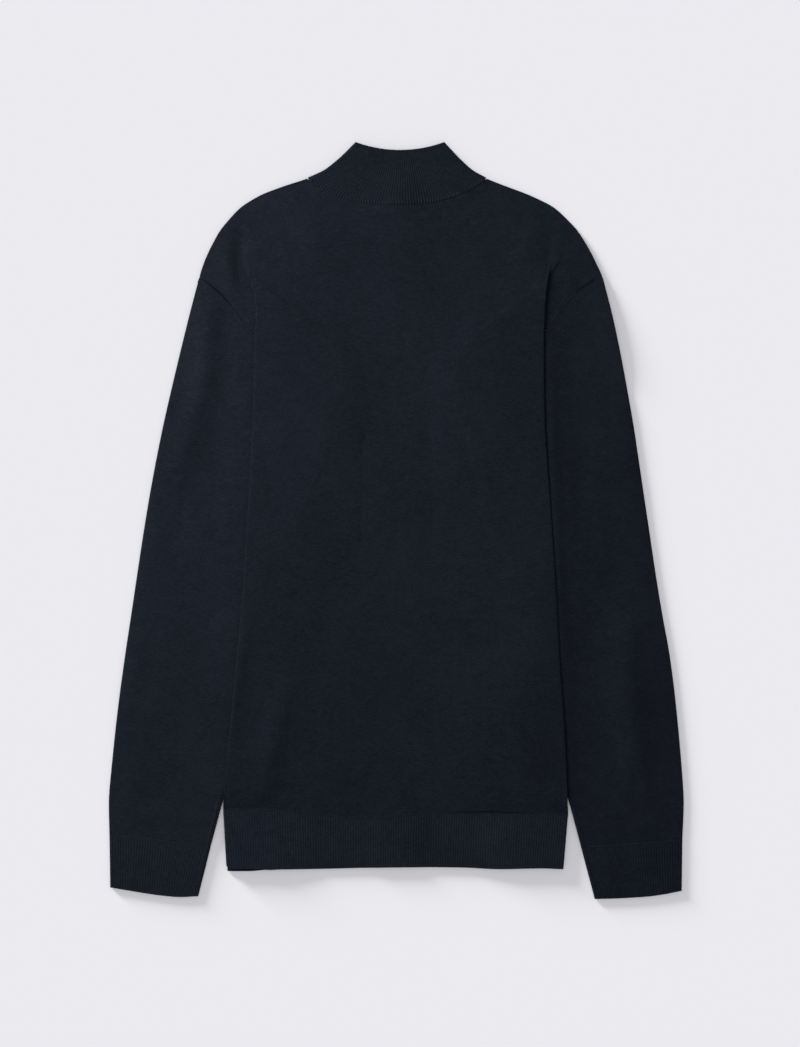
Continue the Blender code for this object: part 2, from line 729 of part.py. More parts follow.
def make_hem(back_bottom, front_bottoms):
    fold_end = HIDDEN_POINTS - 1
    rows = []
    for source, at_seam in ((back_row(0.0), False), (back_bottom, True)):
        right_end = len(source) - fold_end
        row = source[FLAP_END:fold_end]
        row = row + resample(source[fold_end:right_end], 2 * HEM_RIBS + 1)
        row = row + source[right_end:len(source) - FLAP_END]
        if at_seam:
            rows.append([(x, y - SEAM_GAP, z) for x, y, z in row])
        else:
            rows.append([(x, float(hem_edge["back"](x)), z) for x, y, z in row])
    plain = [0.0] * (fold_end - FLAP_END)
    add_wall("hem_back", rows, RIB_CLOTH, rib, plain + rib_relief(HEM_RIBS) + plain)
    for side, bottom in front_bottoms.items():
        rows = [
            [(x, float(hem_edge["front"](x)), z) for x, y, z in front_row(0.0, side)[FLAP_END:]],
            [(x, y - SEAM_GAP, z) for x, y, z in bottom[FLAP_END:]],
        ]
        add_wall("hem_front_" + side, rows, RIB_CLOTH, rib)


def make_collar(back_top, front_tops):
    """The collar's rows run from the zip round the left side, across the back and on to the zip."""
    neck = {"back": np.array(sorted(back_top))}
    neck.update({side: np.array(sorted(top)) for side, top in front_tops.items()})
    front_z = COLLAR_CLOTH / 2
    radius = (COLLAR_BACK_Z - front_z) / 2
    inset = COLLAR_CLOTH / 2 + radius

    def seam_y(x, piece):
        return float(np.interp(x, neck[piece][:, 0], neck[piece][:, 1])) + SEAM_GAP

    rows = []
    for index, values in enumerate(COLLAR_ROWS[1:]):
        spec = dict(zip(COLLAR_ROWS[0], values))
        at_seam = index == 0
        side_y = spec["end_y"] + SEAM_GAP * at_seam
        ends = {"left": spec["left"] + inset, "right": spec["right"] - inset}
        front, turn = {}, {}
        for side, inward in SIDES.items():
            zip_x = -inward * EDGE_TO_ZIP
            front[side] = []
            for share in np.linspace(0, 1, COLLAR_STEPS + 1):
                x = zip_x + (ends[side] - zip_x) * share
                y = spec["end_y"] + (spec["front_y"] - spec["end_y"]) * (1 - share ** NECK_BEND["front"])
                front[side].append((x, seam_y(x, side) + COLLAR_FRONT_GAP if at_seam else y, front_z))
            turns = [math.radians(angle) for angle in COLLAR_TURN]
            turn[side] = [
                (ends[side] - inward * radius * math.cos(a), side_y, front_z + radius * (1 + math.sin(a)))
                for a in turns
            ]
        across = []
        for share in np.linspace(-1, 1, 2 * COLLAR_RIBS + 1):
            x = (ends["left"] + ends["right"]) / 2 + (ends["right"] - ends["left"]) / 2 * share
            y = spec["end_y"] + (spec["back_y"] - spec["end_y"]) * (1 - abs(share) ** spec["power"])
            y = seam_y(x, "back") if at_seam else y
            across.append((x, y, COLLAR_BACK_Z + float(slider_lift(x, y))))
        rows.append(front["left"] + turn["left"] + across + turn["right"][::-1] + front["right"][::-1])
    plain = [0.0] * (COLLAR_STEPS + 1 + len(COLLAR_TURN))
    add_wall("collar", rows, COLLAR_CLOTH, rib, plain + rib_relief(COLLAR_RIBS) + plain)


def zip_height(y):
    """Height of the zip's middle: it rises behind the collar, and again into the slider."""
    return (
        ZIP_Z
        + (ZIP_COLLAR_Z - ZIP_Z) * float(ease((y - COLLAR_FOOT_Y + ZIP_RISE[0]) / ZIP_RISE_LENGTH))
        + (SLIDER_Z - ZIP_COLLAR_Z) * float(ease((y - SLIDER_Y + ZIP_RISE[1]) / ZIP_RISE_LENGTH))
    )


def make_zip():
    levels = [ZIP_FOOT_Y]
    levels += list(np.linspace(COLLAR_FOOT_Y, COLLAR_FOOT_Y + ZIP_RISE_LENGTH, 5) - ZIP_RISE[0])
    levels += list(np.linspace(SLIDER_Y, SLIDER_Y + ZIP_RISE_LENGTH, 5) - ZIP_RISE[1])
    for side, inward in SIDES.items():
        rows = [
            [(-inward * x, y, zip_height(y)) for x in (TAPE_INNER, TAPE_OUTER)]
            for y in levels + [SLIDER_Y + TAPE_END]
        ]
        add_wall("zip_tape_" + side, rows, TAPE_CLOTH, tape)
    half = CHAIN_WIDTH / 2
    rows = [[(-half, y, zip_height(y)), (half, y, zip_height(y))] for y in levels + [SLIDER_Y + CHAIN_END]]
    add_wall("zip_chain", rows, CHAIN_THICK, metal)


def add_box(name, centre, size, target):
    bpy.ops.mesh.primitive_cube_add(size=1, location=[c * MM for c in centre])
    piece = bpy.context.object
    piece.name = name
    piece.scale = [s * MM for s in size]
    bpy.ops.object.transform_apply(location=False, rotation=False, scale=True)
    for old in piece.users_collection:
        old.objects.unlink(piece)
    target.objects.link(piece)
    return piece


def soften(piece, width, segments):
    """Rounds a hard piece's sharp edges."""
    rounding = piece.modifiers.new("round", "BEVEL")
    rounding.width = width * MM
    rounding.segments = segments
    rounding.limit_method = "ANGLE"
    rounding.angle_limit = math.radians(50)


def combine(piece, others, operation):
    for other in others:
        other.hide_render = True
        other.display_type = "WIRE"
        step = piece.modifiers.new(operation.lower(), "BOOLEAN")
        step.operation = operation
        step.object = other


def make_slider():
    """Two plates over the chain, a post between them, and a bridge below for the pull."""
    low = SLIDER_Z - PLATE_GAP / 2 - PLATE / 2
    high = SLIDER_Z + PLATE_GAP / 2 + PLATE / 2
    plate = (SLIDER_WIDTH, SLIDER_LENGTH, PLATE)
    slider = add_box("zip_slider", (0, SLIDER_Y, low), plate, collection)
    rear = add_box("slider_rear", (0, SLIDER_Y, high), plate, cutters)
    soften(slider, PLATE_ROUND, 2)
    soften(rear, PLATE_ROUND, 2)
    post_y = SLIDER_Y + (SLIDER_LENGTH - POST) / 2 - PLATE_ROUND
    post = add_box("slider_post", (0, post_y, SLIDER_Z), (POST, POST, PLATE_GAP + PLATE), cutters)
    leg_top = low
    leg = (BRIDGE_WIDTH, BRIDGE_THICK, leg_top - BRIDGE_LOW)
    joined = [rear, post]
    for way in (-1, 1):
        leg_y = HINGE_Y + way * (BRIDGE_LENGTH - BRIDGE_THICK) / 2
        joined.append(add_box("bridge_leg", (0, leg_y, (leg_top + BRIDGE_LOW) / 2), leg, cutters))
    bar = (BRIDGE_WIDTH, BRIDGE_LENGTH, BRIDGE_THICK)
    joined.append(add_box("bridge_bar", (0, HINGE_Y, BRIDGE_LOW + BRIDGE_THICK / 2), bar, cutters))
    combine(slider, joined, "UNION")
    slider.data.materials.append(metal)


def make_pull():
    """The pull has a round bar inside the slider's bridge, a window for the bridge, and an eye."""
    bar_y = HINGE_Y + PULL_BAR / 2
    size = (PULL_TIP_WIDTH, PULL_LENGTH, PULL_THICK)
    plate = add_box("zip_pull", (0, bar_y - PULL_LENGTH / 2, HINGE_Z), size, collection)
    for vertex in plate.data.vertices:
        if vertex.co.y > 0:
            vertex.co.x *= PULL_WIDTH / PULL_TIP_WIDTH
    # Its origin is on the hinge's axis.
    plate.data.transform(Matrix.Translation((0, (PULL_BAR - PULL_LENGTH) / 2 * MM, 0)))
    plate.location.y = HINGE_Y * MM
    window_y = HINGE_Y - PULL_BAR / 2 - PULL_WINDOW[1] / 2
    window = add_box("pull_window", (0, window_y, HINGE_Z), (*PULL_WINDOW, 2), cutters)
    eye_y = bar_y - PULL_LENGTH + PULL_RIM + PULL_EYE[1] / 2
    eye = add_box("pull_eye", (0, eye_y, HINGE_Z), (*PULL_EYE, 2), cutters)
    soften(eye, PULL_EYE_ROUND, 2)
    combine(plate, [window, eye], "DIFFERENCE")
    soften(plate, PULL_ROUND, 1)
    plate.data.materials.append(metal)


def add_material(name, colour, roughness, metallic=0.0):
    material = bpy.data.materials.new(name)
    material.use_nodes = True
    shader = material.node_tree.nodes["Principled BSDF"]
    shader.inputs["Base Color"].default_value = (*colour, 1)
    shader.inputs["Roughness"].default_value = roughness
    shader.inputs["Metallic"].default_value = metallic
    return material


def centre_on_origin():
    """Hangs every piece on an empty that puts the world's origin under the middle of the garment."""
    bpy.context.view_layer.update()
    graph = bpy.context.evaluated_depsgraph_get()
    corners = []
    for piece in collection.objects:
        evaluated = piece.evaluated_get(graph)
        corners += [evaluated.matrix_world @ Vector(corner) for corner in evaluated.bound_box]
    low, high = np.min(corners, axis=0), np.max(corners, axis=0)
    garment = bpy.data.objects.new("garment", None)
    bpy.context.scene.collection.objects.link(garment)
    for piece in list(collection.objects) + list(cutters.objects):
        piece.parent = garment
    garment.location = (-(low[0] + high[0]) / 2, -(low[1] + high[1]) / 2, -low[2])


for old_object in list(bpy.data.objects):
    bpy.data.objects.remove(old_object)
collection = bpy.data.collections.new("knitted_zip_cardigan")
cutters = bpy.data.collections.new("cutters")
bpy.context.scene.collection.children.link(collection)
bpy.context.scene.collection.children.link(cutters)

knit = add_material("navy_knit", (0.0105, 0.0125, 0.0185), 0.85)
rib = add_material("navy_rib", (0.0100, 0.0120, 0.0180), 0.85)
tape = add_material("zip_tape", (0.0080, 0.0090, 0.0130), 0.80)
metal = add_material("zip_metal", (0.0900, 0.0900, 0.0950), 0.35, 1.0)

back_rows = make_back()
front_rows = make_fronts()
make_cuffs(make_sleeves())
make_hem(back_rows[0], {side: rows[0] for side, rows in front_rows.items()})
make_collar(back_rows[-1], {side: rows[-1] for side, rows in front_rows.items()})
make_zip()
make_slider()
make_pull()
centre_on_origin()
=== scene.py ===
"""A fine-gauge navy knitted cardigan with a ribbed stand collar, laid flat with its back up."""

import math

import bmesh
import bpy
import numpy as np
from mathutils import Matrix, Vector
from mathutils.bvhtree import BVHTree


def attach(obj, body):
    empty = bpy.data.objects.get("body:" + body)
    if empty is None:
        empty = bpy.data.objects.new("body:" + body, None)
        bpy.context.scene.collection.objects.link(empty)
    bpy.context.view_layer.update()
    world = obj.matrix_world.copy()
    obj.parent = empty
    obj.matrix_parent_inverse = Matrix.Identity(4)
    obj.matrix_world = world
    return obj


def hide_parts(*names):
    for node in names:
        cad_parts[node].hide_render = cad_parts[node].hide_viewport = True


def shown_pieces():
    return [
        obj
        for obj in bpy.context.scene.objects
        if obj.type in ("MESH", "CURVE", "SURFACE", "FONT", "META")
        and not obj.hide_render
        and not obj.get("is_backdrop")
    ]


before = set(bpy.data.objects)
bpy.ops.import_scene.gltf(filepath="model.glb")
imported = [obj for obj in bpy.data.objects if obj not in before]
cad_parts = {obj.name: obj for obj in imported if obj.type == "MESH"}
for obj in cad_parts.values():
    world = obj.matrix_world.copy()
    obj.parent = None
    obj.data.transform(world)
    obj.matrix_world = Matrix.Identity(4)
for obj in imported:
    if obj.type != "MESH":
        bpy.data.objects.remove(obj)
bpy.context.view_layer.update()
bpy.ops.object.select_all(action="DESELECT")


# ---------------------------------------------------------------- the fronts
# Two panels of plain fine-gauge knitting in navy yarn, face down on the table under the back.
# Each is knitted to shape, and its side is folded inwards over the front's own middle.

MM = 0.001
MERGE = 0.02 * MM  # corners nearer than this are one corner
RIM_TURN = math.radians(72)  # a sharper edge than this is a cut edge
CORNER_TURN = math.radians(38)  # and an upright edge sharper than this is a corner of the outline
FLAT_TURN = math.radians(8)  # cells that meet at less than this lie in one flat stretch
LONGEST_CELL = 24 * MM
SLIVER = 0.6 * MM**2  # a smaller cell tells nothing of how the cloth lies
LYING = 0.85  # the upward share of a cell's facing, from which on the cloth counts as lying flat
WALE = 1.6 * MM  # one column of stitches
COURSE = 1.25 * MM  # one row
NAVY = (0.0040, 0.0058, 0.0100)
NAVY_LIGHT = (0.0110, 0.0146, 0.0222)
MIDDLE_TONE = 0.42  # between the two navies
# What wanders in the tone: how fine it is across, along and down, and its share.
UNEVEN_TONES = (
    ((170, 800, 300), 1.25),  # streaks along the rows
    ((800, 230, 300), 0.75),  # and along the columns
    ((520, 520, 520), 0.8),  # melange
    ((70, 90, 70), 0.5),  # clouds
    ((11, 8, 11), 0.6),  # broad patches
)
WANDER = 0.9  # of a stitch, by which rows and columns stray


def knitted_copy(node, name, ribbed=False, passes=10):
    """A solid's walls as knitting: loose triangles joined and paired, then halved, rounded and smoothed."""
    piece = bpy.data.objects.new(name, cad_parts[node].data.copy())
    bpy.context.scene.collection.objects.link(piece)
    piece.data.materials.clear()
    bpy.ops.object.select_all(action="DESELECT")
    piece.select_set(True)
    bpy.context.view_layer.objects.active = piece
    bpy.ops.object.mode_set(mode="EDIT")
    bpy.ops.mesh.select_all(action="SELECT")
    bpy.ops.mesh.remove_doubles(threshold=MERGE)
    bpy.ops.mesh.select_all(action="DESELECT")
    bpy.ops.object.mode_set(mode="OBJECT")
    pair_triangles(piece)
    cut_long_edges(piece)
    halve_cells(piece, "SIMPLE")
    keep_rims_square(piece)
    if ribbed:
        let_out(piece)
    halve_cells(piece, "CATMULL_CLARK")
    if not ribbed:
        smooth_lie(piece, passes)
    rest_on_table(piece)
    piece.data.polygons.foreach_set("use_smooth", [True] * len(piece.data.polygons))
    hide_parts(node)
    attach(piece, "garment")
    return piece


def on_grid(vertex):
    """Six triangles meet at such a point and none of its edges is a cut one: its cells are even."""
    return len(vertex.link_edges) == 6 and all(
        len(edge.link_faces) == 2 and edge.calc_face_angle() < RIM_TURN for edge in vertex.link_edges
    )


def pair_triangles(piece):
    """Each wall is a net of four-sided cells, cut along one diagonal. The three runs of edges are followed
    from triangle to triangle, and the fullest run, the diagonals, is taken out."""
    shape = bmesh.new()
    shape.from_mesh(piece.data)
    even = {vertex.index: on_grid(vertex) for vertex in shape.verts}
    run_of = {}
    diagonals = set()
    for first in shape.faces:
        if first.index in run_of:
            continue
        run_of[first.index] = 0
        stretch = [first]
        for face in stretch:
            for place, loop in enumerate(face.loops):
                other = loop.link_loop_radial_next
                crossed = any(even[vertex.index] for vertex in loop.edge.verts)
                if crossed and other.face.index not in run_of:
                    place_there = list(other.face.loops).index(other)
                    run_of[other.face.index] = (run_of[face.index] + place - place_there) % 3
                    stretch.append(other.face)
        runs = (set(), set(), set())
        for face in stretch:
            for place, loop in enumerate(face.loops):
                if any(even[vertex.index] for vertex in loop.edge.verts):
                    runs[(run_of[face.index] + place) % 3].add(loop.edge)
        diagonals |= max(runs, key=len)
    diagonals = sorted(diagonals, key=lambda edge: edge.index)  # so that every run gives the same mesh
    bmesh.ops.dissolve_edges(shape, edges=diagonals, use_verts=False)
    shape.to_mesh(piece.data)
    shape.free()
    bpy.ops.object.mode_set(mode="EDIT")
    bpy.ops.mesh.select_all(action="SELECT")
    bpy.ops.mesh.tris_convert_to_quads(
        face_threshold=math.radians(100), shape_threshold=math.radians(179), topology_influence=2.0
    )
    bpy.ops.mesh.select_all(action="DESELECT")
    bpy.ops.object.mode_set(mode="OBJECT")


def cut_long_edges(piece):
    """Breaks up the long cells of the flat stretches, so that the cloth can be smoothed there too."""
    shape = bmesh.new()
    shape.from_mesh(piece.data)
    for _ in range(5):
        too_long = [
            edge
            for edge in shape.edges
            if edge.calc_length() > LONGEST_CELL and edge.calc_face_angle(1) < FLAT_TURN
        ]
        if not too_long:
            break
        bmesh.ops.subdivide_edges(shape, edges=too_long, cuts=1, use_grid_fill=True)
        bmesh.ops.triangulate(shape, faces=[face for face in shape.faces if len(face.verts) > 4])
    shape.to_mesh(piece.data)
    shape.free()


def keep_rims_square(piece):
    """The cut edges of a wall stay square, so that the seams between two pieces stay closed."""
    shape = bmesh.new()
    shape.from_mesh(piece.data)
    crease = shape.edges.layers.float.new("crease_edge")
    for edge in shape.edges:
        upright = abs(edge.verts[0].co.z - edge.verts[1].co.z) > 0.8 * edge.calc_length()
        sharp = CORNER_TURN if upright else RIM_TURN
        if len(edge.link_faces) == 2 and edge.calc_face_angle() > sharp:
            edge[crease] = 1.0
            edge.smooth = upright
    shape.to_mesh(piece.data)
    shape.free()


def points_of(mesh):
    flat = np.empty(len(mesh.vertices) * 3, np.float32)
    mesh.vertices.foreach_get("co", flat)
    return flat.reshape(-1, 3).astype(float)


def place_points(mesh, points):
    mesh.vertices.foreach_set("co", points.astype(np.float32).ravel())
    mesh.update()


def rest_on_table(piece):
    points = points_of(piece.data)
    points[:, 2] = np.maximum(points[:, 2], 0)
    place_points(piece.data, points)


def halve_cells(piece, kind):
    """Cuts each cell in four: SIMPLE keeps the cells flat, CATMULL_CLARK rounds them."""
    step = piece.modifiers.new("halving", "SUBSURF")
    step.subdivision_type = kind
    step.levels = 1
    step.render_levels = 1
    bpy.context.view_layer.objects.active = piece
    bpy.ops.object.modifier_apply(modifier="halving")


def let_out(piece):
    """Rounding flattens ribs, so their cage is drawn up until the rounded ribs have the solid's height."""
    wanted = points_of(piece.data)
    cage = wanted.copy()
    rounding = piece.modifiers.new("rounding", "SUBSURF")
    rounding.levels = 1
    rounding.render_levels = 1
    for _ in range(3):
        graph = bpy.context.evaluated_depsgraph_get()
        rounded = piece.evaluated_get(graph).to_mesh()
        cage[:, 2] += (wanted - points_of(rounded)[: len(wanted)])[:, 2]
        place_points(piece.data, cage)
    piece.modifiers.remove(rounding)


def smooth_lie(piece, passes):
    """Evens out the lie of the cloth: where it lies flat, each point is drawn to its neighbours' height."""
    shape = bmesh.new()
    shape.from_mesh(piece.data)
    whole = {face: face.calc_area() > SLIVER for face in shape.faces}
    flat = [
        vertex
        for vertex in shape.verts
        if all(abs(face.normal.z) > LYING or not whole[face] for face in vertex.link_faces)
    ]
    for _ in range(passes):
        bmesh.ops.smooth_vert(shape, verts=flat, factor=0.5, use_axis_z=True)
    shape.to_mesh(piece.data)
    shape.free()


def add_node(material, kind, **settings):
    node = material.node_tree.nodes.new(kind)
    for name, value in settings.items():
        setattr(node, name, value)
    return node


def wire(material, source, target):
    material.node_tree.links.new(source, target)


def sums(material, operation, *values, clamp=False):
    """One Math node, whose inputs are numbers or other nodes' outputs."""
    node = add_node(material, "ShaderNodeMath", operation=operation, use_clamp=clamp)
    for slot, value in zip(node.inputs, values):
        if isinstance(value, (int, float)):
            slot.default_value = value
        else:
            wire(material, value, slot)
    return node.outputs[0]


def stitch_relief(material, across, along):
    """Height of plain knitting: each column is a chain of V stitches, their legs sloping to the middle."""
    column = sums(material, "FRACT", across)
    from_middle = sums(material, "ABSOLUTE", sums(material, "MULTIPLY_ADD", column, 2.0, -1.0))
    leg = sums(material, "SINE", sums(material, "MULTIPLY", from_middle, math.pi))
    row = sums(material, "MULTIPLY_ADD", from_middle, 0.75, along)
    bead = sums(material, "COSINE", sums(material, "MULTIPLY", row, math.tau))
    return sums(material, "MULTIPLY", leg, sums(material, "MULTIPLY_ADD", bead, 0.3, 0.7))


def uneven(material, place, scale, detail=2.0):
    """Noise about nought, drawn out along the axes whose scale is small."""
    drawn = add_node(material, "ShaderNodeMapping")
    drawn.inputs["Scale"].default_value = scale
    wire(material, place, drawn.inputs["Vector"])
    noise = add_node(material, "ShaderNodeTexNoise")
    noise.inputs["Scale"].default_value = 1.0
    noise.inputs["Detail"].default_value = detail
    noise.inputs["Roughness"].default_value = 0.6
    wire(material, drawn.outputs[0], noise.inputs["Vector"])
    return sums(material, "SUBTRACT", noise.outputs["Fac"], 0.5)


def yarn(name, turn=0.0, wale=WALE, course=COURSE, depth=0.3 * MM, lighter=1.0, painted_stitch_shade=0.35):
    """Soft combed yarn, knitted: navy with a slight melange, streaked along rows and columns, its stitches
    raised by depth. Its last argument is the share that the stitches' relief has in the tone: their raised
    legs are coloured lighter and the hollows between them darker, as painted shade."""
    material = bpy.data.materials.new(name)
    material.use_nodes = True
    shader = material.node_tree.nodes["Principled BSDF"]
    coordinates = add_node(material, "ShaderNodeTexCoord")
    turned = add_node(material, "ShaderNodeMapping")
    turned.inputs["Rotation"].default_value[2] = turn
    wire(material, coordinates.outputs["Object"], turned.inputs["Vector"])
    place = turned.outputs[0]
    parts = add_node(material, "ShaderNodeSeparateXYZ")
    wire(material, place, parts.inputs[0])
    wander = uneven(material, place, (110, 110, 110), 1.0)
    stray = sums(material, "MULTIPLY", wander, WANDER)
    across = sums(material, "MULTIPLY_ADD", parts.outputs["X"], 1 / wale, stray)
    along = sums(material, "MULTIPLY_ADD", parts.outputs["Y"], 1 / course, stray)
    relief = stitch_relief(material, across, along)
    fuzz = uneven(material, place, (900, 900, 900), 3.0)
    tone = MIDDLE_TONE
    for scale, share in UNEVEN_TONES:
        tone = sums(material, "MULTIPLY_ADD", uneven(material, place, scale), share, tone)
    # The stitches' relief goes into the tone as painted shade: lighter on their raised legs, darker in the
    # hollows between them.
    tone = sums(material, "SUBTRACT", tone, 0.4 * painted_stitch_shade)
    tone = sums(material, "MULTIPLY_ADD", relief, painted_stitch_shade, tone, clamp=True)
    shade = add_node(material, "ShaderNodeMix", data_type="RGBA")
    shade.inputs["A"].default_value = (*[c * lighter for c in NAVY], 1)
    shade.inputs["B"].default_value = (*[c * lighter for c in NAVY_LIGHT], 1)
    wire(material, tone, shade.inputs["Factor"])
    wire(material, shade.outputs["Result"], shader.inputs["Base Color"])
    bump = add_node(material, "ShaderNodeBump")
    bump.inputs["Strength"].default_value = 0.7
    bump.inputs["Distance"].default_value = depth
    wire(material, sums(material, "MULTIPLY_ADD", fuzz, 0.5, relief), bump.inputs["Height"])
    wire(material, bump.outputs[0], shader.inputs["Normal"])
    shader.inputs["Roughness"].default_value = 0.85
    shader.inputs["Specular IOR Level"].default_value = 0.06
    shader.inputs["Sheen Weight"].default_value = 0.03
    shader.inputs["Sheen Roughness"].default_value = 0.45
    shader.inputs["Sheen Tint"].default_value = (0.75, 0.83, 1.0, 1)
    return material


jersey = yarn("navy_jersey")
fronts = {}
for side in ("left", "right"):
    fronts[side] = knitted_copy("front_" + side, side + "_front")
    fronts[side].data.materials.append(jersey)


# ---------------------------------------------------------------- the back
# One panel of the same plain knitting, uppermost, from the neck and shoulders to the hem seam.
# Its sides are tucked under along soft edges, which lie over the sleeves.

# Soft folds left by folding and packing: start x, y, end x, y, half width, height, all in mm.
BACK_FOLDS = (
    (-149, -84, -174, -250, 9.0, 2.2),
    (-108, -160, -138, -296, 13.0, 2.9),
    (-60, -236, -24, -262, 11.0, 1.0),
    (101, -130, 93, -310, 44.0, 6.4),
    (112, -175, 142, -262, 12.0, 1.0),
    (-161, 312, -151, 226, 7.0, -2.2),
    (-176, 296, -168, 236, 7.0, 1.4),
    (-96, 316, -72, 262, 10.0, 0.9),
    (78, 318, 92, 262, 11.0, 0.9),
    (160, 296, 158, 246, 5.0, -1.6),
    (146, 312, 134, 262, 10.0, 1.4),
    (182, 249, 198, 251, 3.6, -1.2),
    (-55, 327, -35, 320.5, 2.0, -1.2),
    (4, 322, 6, 58, 4.0, 0.35),
    (-60, 60, 70, 44, 18.0, 0.7),
    (-110, -40, -20, -64, 18.0, 0.7),
    (-40, 190, 60, 206, 20.0, 0.7),
)
BOW = 0.04  # a fold bows aside by this share of its length
MOST_BOW = 4 * MM


def fold_height(points, folds):
    """Height that the soft folds give at each point: round ridges or troughs that run out at both ends."""
    height = np.zeros(len(points))
    for x0, y0, x1, y1, half_width, top in folds:
        start = np.array((x0, y0)) * MM
        along = np.array((x1, y1)) * MM - start
        length = np.hypot(*along)
        offset = points[:, :2] - start
        share = offset @ along / length**2
        bow = min(BOW * length, MOST_BOW) * np.sin(math.pi * np.clip(share, 0, 1))
        aside = (offset[:, 0] * along[1] - offset[:, 1] * along[0]) / length - bow
        end = np.clip(1 - (2 * share - 1) ** 2, 0, None) ** 0.8
        height += top * MM * end * np.exp(-((aside / (half_width * MM)) ** 2))
    return height


def raise_folds(piece, folds, share=1.0):
    points = points_of(piece.data)
    points[:, 2] += fold_height(points, folds) * share
    place_points(piece.data, points)


back = knitted_copy("back", "back_panel", passes=110)
raise_folds(back, BACK_FOLDS)
back.data.materials.append(jersey)


# ---------------------------------------------------------------- the sleeves
# Tubes of plain knitting, pressed flat, each closed by a seam at the underarm and sewn into the dropped
# armhole. The stitches run down the arm, so the pattern is turned with it.

SLEEVE_TURNS = {"left": math.radians(-7.5), "right": math.radians(7.5)}
CLEAR = 0.05 * MM  # a feeler starts this far off the wall that it leaves
SLEEVE_FOLDS = {
    "left": (
        (-182, 272, -198, 112, 15.0, 3.6),
        (-190, 170, -230, 16, 15.0, 2.4),
        (-236, 70, -250, -40, 10.0, 1.0),
        (-214, 54, -220, -16, 3.0, -0.6),
        (-184, -70, -190, -136, 3.0, -0.7),
        (-262, -110, -278, -236, 12.0, 1.6),
        (-200, -236, -256, -262, 11.0, 1.0),
        (-226, -296, -286, -318, 8.0, 0.9),
    ),
    "right": (
        (216, 264, 242, 142, 17.0, 3.2),
        (154, 238, 184, -320, 7.0, 2.2),
        (232, 130, 248, 10, 10.0, 1.0),
        (205, 60, 218, -60, 9.0, 0.9),
        (236, -95, 252, -300, 17.0, 3.4),
        (244, -262, 254, -286, 5.0, -1.2),
        (222, -258, 262, -226, 9.0, 0.8),
        (240, -318, 272, -312, 7.0, 1.0),
    ),
}


def upper_share(piece):
    """1 on a tube's upper wall and 0 on its lower, running out softly at its folded edges."""
    tree = BVHTree.FromPolygons(
        [v.co for v in piece.data.vertices], [p.vertices[:] for p in piece.data.polygons]
    )
    share = np.zeros(len(piece.data.vertices))
    up = Vector((0, 0, 1))
    for vertex in piece.data.vertices:
        start = vertex.co + up * CLEAR
        walls = 0
        hit = tree.ray_cast(start, up)[0]
        while hit is not None and walls < 3:
            walls += 1
            hit = tree.ray_cast(hit + up * CLEAR, up)[0]
        share[vertex.index] = walls < 2
    ends = np.empty(len(piece.data.edges) * 2, np.int32)
    piece.data.edges.foreach_get("vertices", ends)
    ends = ends.reshape(-1, 2)
    count = np.bincount(ends.ravel(), minlength=len(share))
    for _ in range(2):
        total = np.bincount(ends[:, 0], share[ends[:, 1]], len(share))
        total += np.bincount(ends[:, 1], share[ends[:, 0]], len(share))
        share = 0.5 * share + 0.5 * total / np.maximum(count, 1)
    return np.clip(2 * share - 1, 0, 1)


sleeves = {}
for side in ("left", "right"):
    sleeve = knitted_copy("sleeve_" + side, side + "_sleeve")
    raise_folds(sleeve, SLEEVE_FOLDS[side], upper_share(sleeve))
    sleeve.data.materials.append(yarn(side + "_sleeve_jersey", turn=SLEEVE_TURNS[side]))
    sleeves[side] = sleeve


# ---------------------------------------------------------------- the cuffs
# Short tubes of one-by-one rib in the same yarn, linked to the sleeves' ends, which they draw in slightly.
# Each has a soft fold or two, and its ribs run on down the arm.

RIB_PITCH = 1.31 * MM
PULLED_FLAT = 0.04 * MM  # relief of rib that lies drawn out, as it does at the cuffs and the hem
CUFF_TURNS = {"left": math.radians(-5.5), "right": math.radians(5.0)}
CUFF_FOLDS = {
    "left": ((-292, -351, -238, -373, 5.0, -1.5), (-270, -352, -212, -352, 7.0, 0.6)),
    "right": ((242, -346, 282, -342, 7.0, 1.9), (206, -338, 232, -366, 9.0, 0.8)),
}

cuffs = {}
for side in ("left", "right"):
    cuff = knitted_copy("cuff_" + side, side + "_cuff", True)
    raise_folds(cuff, CUFF_FOLDS[side], upper_share(cuff))
    turn = CUFF_TURNS[side]
    cuff_rib = yarn(side + "_cuff_rib", turn, RIB_PITCH, depth=PULLED_FLAT, lighter=0.97, painted_stitch_shade=0.08)
    cuff.data.materials.append(cuff_rib)
    cuffs[side] = cuff


# ---------------------------------------------------------------- the hem bands
# Bands of the same rib, linked to the panels' lower edges: one below the back and one below each front,
# ending at the zip. They draw in the hem a little, and the back's hangs lowest near its left corner.

HEM_DROP = 2.4 * MM
HEM_STEP = (-166 * MM, -120 * MM)  # the drop is whole left of the first and gone right of the second
HEM_CORNER = -172 * MM
HEM_FOOT = -352 * MM

band_rib = yarn("navy_band_rib", 0.0, RIB_PITCH, depth=PULLED_FLAT, lighter=1.15, painted_stitch_shade=0.08)
hems = {}
for side in ("left", "right"):
    hem = knitted_copy("hem_front_" + side, side + "_front_hem")
    hem.data.materials.append(band_rib)
    hems[side] = hem
hem = knitted_copy("hem_back", "back_hem", True)
points = points_of(hem.data)
share = np.clip((HEM_STEP[1] - points[:, 0]) / (HEM_STEP[1] - HEM_STEP[0]), 0, 1)
share *= points[:, 0] > HEM_CORNER
points[:, 1] -= HEM_DROP * share * (points[:, 1] < HEM_FOOT)
place_points(hem.data, points)
hem.data.materials.append(band_rib)
hems["back"] = hem


# ---------------------------------------------------------------- the collar
# A stand collar: one strip of rib folded double along its top, linked round the neck edge.
# Flat on the table it lies in two thicknesses, and its ribs fan out towards the shoulders.

collar_rib = yarn("navy_rib", 0.0, RIB_PITCH, depth=0.08 * MM, lighter=0.9, painted_stitch_shade=0.2)
collar = knitted_copy("collar", "stand_collar", True)
collar.data.materials.append(collar_rib)
